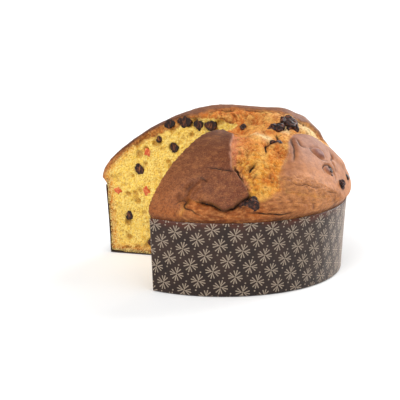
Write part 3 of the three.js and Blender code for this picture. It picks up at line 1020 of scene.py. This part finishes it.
# the paper's print: rosettes of four fans on a slanting lattice, with pairs of dots between them
PRINT_WIDE = 18.2
PRINT_TALL = 22.1
PRINT_TURN = math.radians(14.65)
PRINT_START = (22.3, 51.6)      # one rosette: arc from the near cut's corner, height
PRINT_CORNER = math.radians(237)
PRINT_SEAM = math.radians(225)  # in the missing wedge, where the strip has no paper
DOT_OFFSET = 3.15
FAN_STROKES = (
    # start and end along and beside a fan's stem, half width at the start and at the end
    ((0.2, 0.0), (5.6, 0.0), 0.18, 0.46),
    ((1.2, 0.15), (4.7, 2.3), 0.18, 0.46),
)


def length(coat, x, y):
    return coat.math("SQRT", coat.math("ADD", coat.times(x, x), coat.times(y, y)))


def lattice(coat, x, y, half_x, half_y):
    """Place within one cell of the print, from its middle, on a lattice moved by a share of the cell."""
    moved = []
    for value, period, half in ((x, PRINT_WIDE, half_x), (y, PRINT_TALL, half_y)):
        shifted = coat.math("ADD", value, half * period)
        moved.append(coat.math("WRAP", shifted, period / 2, -period / 2))
    return moved


def fan_stroke(coat, stem, beside, stroke):
    """One tapered stroke of a fan: full on the stroke and nothing off it."""
    (x0, y0), (x1, y1), thin, thick = stroke
    run = (x1 - x0, y1 - y0)
    size = run[0] ** 2 + run[1] ** 2
    gap_x = coat.math("SUBTRACT", stem, x0)
    gap_y = coat.math("SUBTRACT", beside, y0)
    reach = coat.math("ADD", coat.times(gap_x, run[0] / size), coat.times(gap_y, run[1] / size))
    share = coat.math("MULTIPLY", reach, 1.0, clamp=True)
    rest_x = coat.math("SUBTRACT", gap_x, coat.times(share, run[0]))
    rest_y = coat.math("SUBTRACT", gap_y, coat.times(share, run[1]))
    width = coat.math("MULTIPLY_ADD", share, thick - thin, thin)
    return coat.span(coat.math("SUBTRACT", length(coat, rest_x, rest_y), width), 0.1, -0.1)


def paper_print(coat):
    """Where the ink lies, worked out on the strip laid flat."""
    turn = coat.node("ShaderNodeMapping", vector_type="TEXTURE")
    coat.join(coat.node("ShaderNodeUVMap", uv_map="strip").outputs["UV"], turn.inputs["Vector"])
    turn.inputs["Location"].default_value = (*PRINT_START, 0)
    turn.inputs["Rotation"].default_value = (0, 0, -PRINT_TURN)
    parts = coat.node("ShaderNodeSeparateXYZ")
    coat.join(turn.outputs["Vector"], parts.inputs["Vector"])
    strip_x = parts.outputs["X"]
    strip_y = parts.outputs["Y"]

    x, y = lattice(coat, strip_x, strip_y, 0, 0)
    other_x, other_y = lattice(coat, strip_x, strip_y, 0.5, 0.5)
    nearer = coat.math("LESS_THAN", length(coat, x, y), length(coat, other_x, other_y))
    farther = coat.math("SUBTRACT", 1.0, nearer)
    across = coat.math("ABSOLUTE", coat.math("ADD", coat.times(nearer, x), coat.times(farther, other_x)))
    upward = coat.math("ABSOLUTE", coat.math("ADD", coat.times(nearer, y), coat.times(farther, other_y)))
    stem = coat.math("MAXIMUM", across, upward)
    beside = coat.math("MINIMUM", across, upward)
    ink = [fan_stroke(coat, stem, beside, stroke) for stroke in FAN_STROKES]
    for half in (0, 0.5):
        x, y = lattice(coat, strip_x, strip_y, half, 0.5 - half)
        y = coat.math("SUBTRACT", coat.math("ABSOLUTE", y), DOT_OFFSET)
        ink.append(coat.span(length(coat, x, y), 0.72, 0.5))
    return functools.reduce(lambda a, b: coat.math("MAXIMUM", a, b), ink)


def paper_finish():
    coat = Finish("printed_baking_paper")
    place = coat.place()
    fibre = coat.noise(place, 0.6, 3, 0.6)
    cloud = coat.noise(place, 16, 3, 0.5)
    ground = coat.mix(coat.span(cloud, 0.35, 0.65), (28, 14, 9), (50, 31, 23))
    ground = coat.mix(coat.span(fibre, 0.3, 0.7, 0.0, 0.2), ground, (84, 66, 56))
    stain = coat.times(coat.share("stain"), coat.span(coat.noise(place, 9, 3, 0.5), 0.35, 0.6))
    ground = coat.mix(coat.times(stain, 0.7), ground, (96, 44, 26))
    ground = coat.mix(coat.span(coat.height(place), 0, 34 * MM, 0.45, 0.0), ground, (20, 10, 8))
    worn = coat.times(paper_print(coat), coat.span(fibre, 0.25, 0.7, 0.7, 1.0))
    colour = coat.mix(coat.times(worn, coat.share("printed")), ground, (168, 150, 130))
    creases = coat.bump(coat.noise(coat.scaled(place, (1, 1, 0.2)), 6, 3, 0.6), 0.8, 0.8)
    relief = coat.bump(fibre, 0.05, 0.5, creases)
    return coat.finish(colour, coat.span(fibre, 0.3, 0.7, 0.36, 0.46), relief, specular=0.3, sheen=0.3)


def base_finish():
    coat = Finish("base_paper")
    fibre = coat.noise(coat.place(), 0.7, 3, 0.6)
    colour = coat.mix(coat.span(fibre, 0.3, 0.7), (60, 46, 40), (84, 66, 56))
    return coat.finish(colour, 0.6, coat.bump(fibre, 0.05, 0.5))


def spun_strip():
    """The wall and its hem, spun from their section a little past both cuts."""
    inner = MOULD_RADIUS - PAPER
    hem = PAPER + PAPER_GAP
    section = [(MOULD_RADIUS - 0.5, 0.0), (MOULD_RADIUS - 0.1, 0.35)]
    rows = 24
    for row in range(rows + 1):
        share = 0.02 + 0.98 * row / rows
        section.append((MOULD_RADIUS + MOULD_FLARE * share, MOULD_HEIGHT * share))
    section += [
        (MOULD_TOP_RADIUS - PAPER, MOULD_HEIGHT),
        (inner + 0.1, hem + PAPER),
        (inner - HEM_WIDTH, hem + PAPER),
        (inner - HEM_WIDTH, hem),
        (inner, hem),
        (inner, 0.0),
    ]
    first = NEAR_CUT + math.radians(3)
    last = math.tau + FAR_CUT - math.radians(1)
    bm = bmesh.new()
    corners = [bm.verts.new((radius, 0, height)) for radius, height in section]
    edges = [bm.edges.new(pair) for pair in zip(corners, corners[1:] + corners[:1])]
    bmesh.ops.rotate(bm, verts=corners, matrix=Matrix.Rotation(first, 3, "Z"))
    bmesh.ops.spin(bm, geom=corners + edges, axis=(0, 0, 1), angle=last - first, steps=300)
    return bm


def trim_to_cuts(bm):
    """Takes off what stands past both cut faces, and closes the ends."""
    point = Vector((*CUT_POINT, 0))
    for direction, into_wedge in CUTS:
        along = Vector((math.cos(direction), math.sin(direction), 0))
        outward = Vector((-along.y, along.x, 0)) * into_wedge
        close = [face for face in bm.faces if (face.calc_center_median() - point).dot(along) > 60]
        parts = list(dict.fromkeys(part for face in close for part in (*face.verts, *face.edges))) + close
        made = bmesh.ops.bisect_plane(bm, geom=parts, plane_co=point, plane_no=outward, clear_outer=True)
        rim = [part for part in made["geom_cut"] if isinstance(part, bmesh.types.BMEdge)]
        bmesh.ops.holes_fill(bm, edges=rim)


def lay_flat(bm):
    """Millimetres along and up the strip for its print, which is on the outside only, and its stained top."""
    strip = bm.loops.layers.uv.new("strip")
    printed = bm.verts.layers.float.new("printed")
    stain = bm.verts.layers.float.new("stain")
    for vert in bm.verts:
        outer = MOULD_RADIUS + MOULD_FLARE * vert.co.z / MOULD_HEIGHT
        vert[printed] = float(vert.co.xy.length > outer - 0.55 * PAPER)
        vert[stain] = float(ease(vert.co.z, MOULD_HEIGHT - 7, MOULD_HEIGHT - 1))
    for face in bm.faces:
        middle = face.calc_center_median()
        turn = math.atan2(middle.y, middle.x) % math.tau
        turn += math.tau if turn < PRINT_SEAM else 0
        for loop in face.loops:
            here = math.atan2(loop.vert.co.y, loop.vert.co.x)
            here += math.tau * round((turn - here) / math.tau)
            loop[strip].uv = ((here - PRINT_CORNER) * MOULD_RADIUS, loop.vert.co.z)


def build_wall(material):
    """The paper strip, with the slack waves of paper."""
    bm = spun_strip()
    trim_to_cuts(bm)
    bmesh.ops.recalc_face_normals(bm, faces=bm.faces)
    lay_flat(bm)
    mesh = mesh_from(bm, "wall")
    points = mesh_points(mesh)
    around = points * (1, 1, 0.35)
    radius = np.hypot(points[:, 0], points[:, 1])
    free = ease(points[:, 2], 1.5, 14) * (1 - 0.5 * ease(points[:, 2], 50, 60)) * (radius > MOULD_RADIUS - 2)
    wave = free * (0.35 * grain(around, 26, 31, 2) + 0.12 * grain(around, 7, 32, 2))
    points[:, :2] *= (1 + wave / radius)[:, None]
    place_points(mesh, points)
    mesh.shade_smooth()
    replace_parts(new_piece("paper_wall", mesh, material), "mould_wall")


# ---- fruit ------------------------------------------------------------------------------------
def raisin_finish():
    coat = Finish("raisin_skin")
    place = coat.place()
    folds = coat.noise(place, 2.2, 4, 0.6)
    # dark in the low folds and brown on the raised ones, following the same folds as the bump: part the
    # raisin's own colour, part painted shade and painted highlight
    skin = coat.ramp(folds, ((0.3, (16, 8, 9)), (0.5, (40, 20, 15)), (0.68, (122, 66, 42))))
    streaks = coat.noise(coat.scaled(place, (1, 1, 0.35)), 1.4, 3, 0.6)
    ripe = coat.math("ADD", coat.share("heart"), coat.span(streaks, 0.3, 0.7, -0.45, 0.45))
    flesh = coat.ramp(ripe, ((0.0, (30, 13, 8)), (0.3, (92, 46, 24)), (0.9, (164, 104, 56))))
    flesh = coat.mix(coat.span(folds, 0.5, 0.6, 0.0, 0.8), flesh, (36, 15, 9))
    colour = coat.mix(coat.share("section"), skin, flesh)
    relief = coat.bump(coat.math("ADD", folds, streaks), 0.6, 0.8)
    return coat.finish(colour, 0.42, relief, specular=0.3)


def orange_finish():
    coat = Finish("candied_orange")
    place = coat.place()
    pith = coat.noise(place, 2.4, 3, 0.5)
    colour = coat.ramp(pith, ((0.3, (206, 70, 16)), (0.5, (228, 98, 34)), (0.68, (242, 156, 84))))
    return coat.finish(colour, 0.3, coat.bump(pith, 0.3, 0.5), specular=0.5, scatter=0.2)


# fruit whose cut face is burnt dark through
BURNT = ("raisin_far_cut_01", "raisin_far_cut_02")
# how many millimetres a raisin of the crust is lifted out of its place, where it isn't the usual lift
USUAL_LIFT = 0.3
LIFTS = {
    "raisin_crust_01": -0.8, "raisin_crust_02": -0.4, "raisin_crust_05": 0.9, "raisin_crust_07": 0.4,
    "raisin_crust_08": 1.2, "raisin_crust_09": -2.2, "raisin_crust_15": -1.6, "raisin_crust_16": -1.6,
}
# how much larger than their places some raisins have swollen, all round or along each axis
GROWTH = {"raisin_crust_04": 1.12, "raisin_crust_05": 1.35, "raisin_crust_08": (0.92, 1.15, 1.5)}


def softened_solid(node):
    """A rounded mesh, in millimetres from the mould's axis, of the plain solid that holds a fruit's place."""
    bm = bmesh.new()
    bm.from_mesh(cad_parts[node].data)
    bmesh.ops.remove_doubles(bm, verts=bm.verts, dist=1e-6)
    for _ in range(3):
        bmesh.ops.subdivide_edges(bm, edges=bm.edges, cuts=1, use_grid_fill=True)
    axes = {"use_axis_x": True, "use_axis_y": True, "use_axis_z": True}
    for _ in range(3):
        bmesh.ops.smooth_vert(bm, verts=bm.verts, factor=0.5, **axes)
    bmesh.ops.recalc_face_normals(bm, faces=bm.faces)
    mesh = mesh_from(bm, node)
    mesh.shade_smooth()
    normals = np.empty(len(mesh.vertices) * 3)
    mesh.vertices.foreach_get("normal", normals)
    return mesh, mesh_points(mesh) / MM - np.array(AXIS), normals.reshape(-1, 3)


def build_fruit(node, material, wrinkle, seed):
    """One wrinkled piece of fruit, flat where the knife met it."""
    mesh, points, normals = softened_solid(node)
    centre = (points.min(axis=0) + points.max(axis=0)) / 2
    half = (points.max(axis=0) - points.min(axis=0)) / 2
    points = centre + (points - centre) * np.array(GROWTH.get(node, 1.0))
    uneven = 0.45 if "cut" in node else 0.32
    swell = (points - centre) * (uneven * grain((points - centre) / half * 9, 8, seed + 2, 2))[:, None]
    section = np.zeros(len(points))
    for cut in CUTS:
        distance, along, outward = cut_distance(points, *cut)
        flat = ease(distance, -0.35, -0.1) * (along > -1) * ("cut" in node)
        section = np.maximum(section, flat)
        swell[:, :2] -= (flat * (swell[:, :2] @ outward))[:, None] * outward
    heart = np.clip(1.05 - np.linalg.norm((points - centre) / half, axis=1), 0, 1)
    if node in BURNT:
        heart *= 0.2
    folds = np.abs(grain(points, 3.0, seed, 2))
    bend = grain(points, 7, seed + 1)
    shift = wrinkle * (0.5 - 1.3 * folds + 0.7 * bend) * (1 - 0.9 * section) + 0.2
    points = points + normals * shift[:, None] + swell
    if "crust" in node:
        lift = sculpt_crust(centre[None]).shift + LIFTS.get(node, USUAL_LIFT)
        points = points + crust_outwards(centre[None]) * lift
    place_points(mesh, points)
    add_share(mesh, "section", section)
    add_share(mesh, "heart", heart)
    name = node.replace("raisin", "sultana").replace("orange", "peel")
    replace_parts(new_piece(name, mesh, material), node)


# ---- the making -------------------------------------------------------------------------------
build_bread(bread_finish())
build_wall(paper_finish())
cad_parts["mould_base"].material_slots[0].material = base_finish()
raisin_skin = raisin_finish()
candied_peel = orange_finish()
for number, name in enumerate(sorted(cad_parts)):
    if name.startswith("raisin"):
        build_fruit(name, raisin_skin, wrinkle=1.35, seed=100 + number)
    if name.startswith("orange"):
        build_fruit(name, candied_peel, wrinkle=0.4, seed=100 + number)


# ---- floor, light and camera ------------------------------------------------------------------
def build_floor():
    bm = bmesh.new()
    bmesh.ops.create_grid(bm, x_segments=2, y_segments=2, size=6)
    bmesh.ops.translate(bm, verts=bm.verts, vec=(0, 0, -0.0004))
    mesh = mesh_from(bm, "floor")
    coat = Finish("white_floor")
    coat.surface.inputs["Emission Color"].default_value = (1, 1, 1, 1)
    coat.surface.inputs["Emission Strength"].default_value = 0.08
    mesh.materials.append(coat.finish((0.88, 0.88, 0.88, 1), 0.9, specular=0.1))
    in_scene("floor", mesh)


def broad_light(name, turn, height, strength, spread):
    light = bpy.data.lights.new(name, "SUN")
    light.energy = strength
    light.angle = math.radians(spread)
    turn, height = math.radians(turn), math.radians(height)
    away = Vector((math.cos(turn) * math.cos(height), math.sin(turn) * math.cos(height), math.sin(height)))
    holder = in_scene(name, light)
    holder.location = away
    holder.rotation_euler = away.to_track_quat("Z", "Y").to_euler()


build_floor()
world = bpy.data.worlds.new("studio")
bpy.context.scene.world = world
world.use_nodes = True
world.node_tree.nodes["Background"].inputs["Color"].default_value = (1, 1, 1, 1)
world.node_tree.nodes["Background"].inputs["Strength"].default_value = 0.3
# name, turn round the loaf, height above the floor, strength, spread
broad_light("left_window", -128, 38, 1.45, 45)
broad_light("right_window", 48, 27, 2.6, 45)
broad_light("overhead_window", -78, 68, 1.4, 55)

CAMERA_DISTANCE = 1224 * MM
CAMERA_RISE = math.radians(15.89)
AIM = Vector((-18.8, 14.5, 50.9))
camera = bpy.data.cameras.new("camera")
camera.lens = 128
camera.sensor_width = 36
camera_holder = in_scene("camera", camera)
stand = AXIS * MM + Vector((0, -math.cos(CAMERA_RISE), math.sin(CAMERA_RISE))) * CAMERA_DISTANCE
camera_holder.location = stand
camera_holder.rotation_euler = ((AXIS + AIM) * MM - stand).to_track_quat("-Z", "Y").to_euler()
bpy.context.scene.camera = camera_holder
bpy.context.scene.view_settings.view_transform = "Standard"
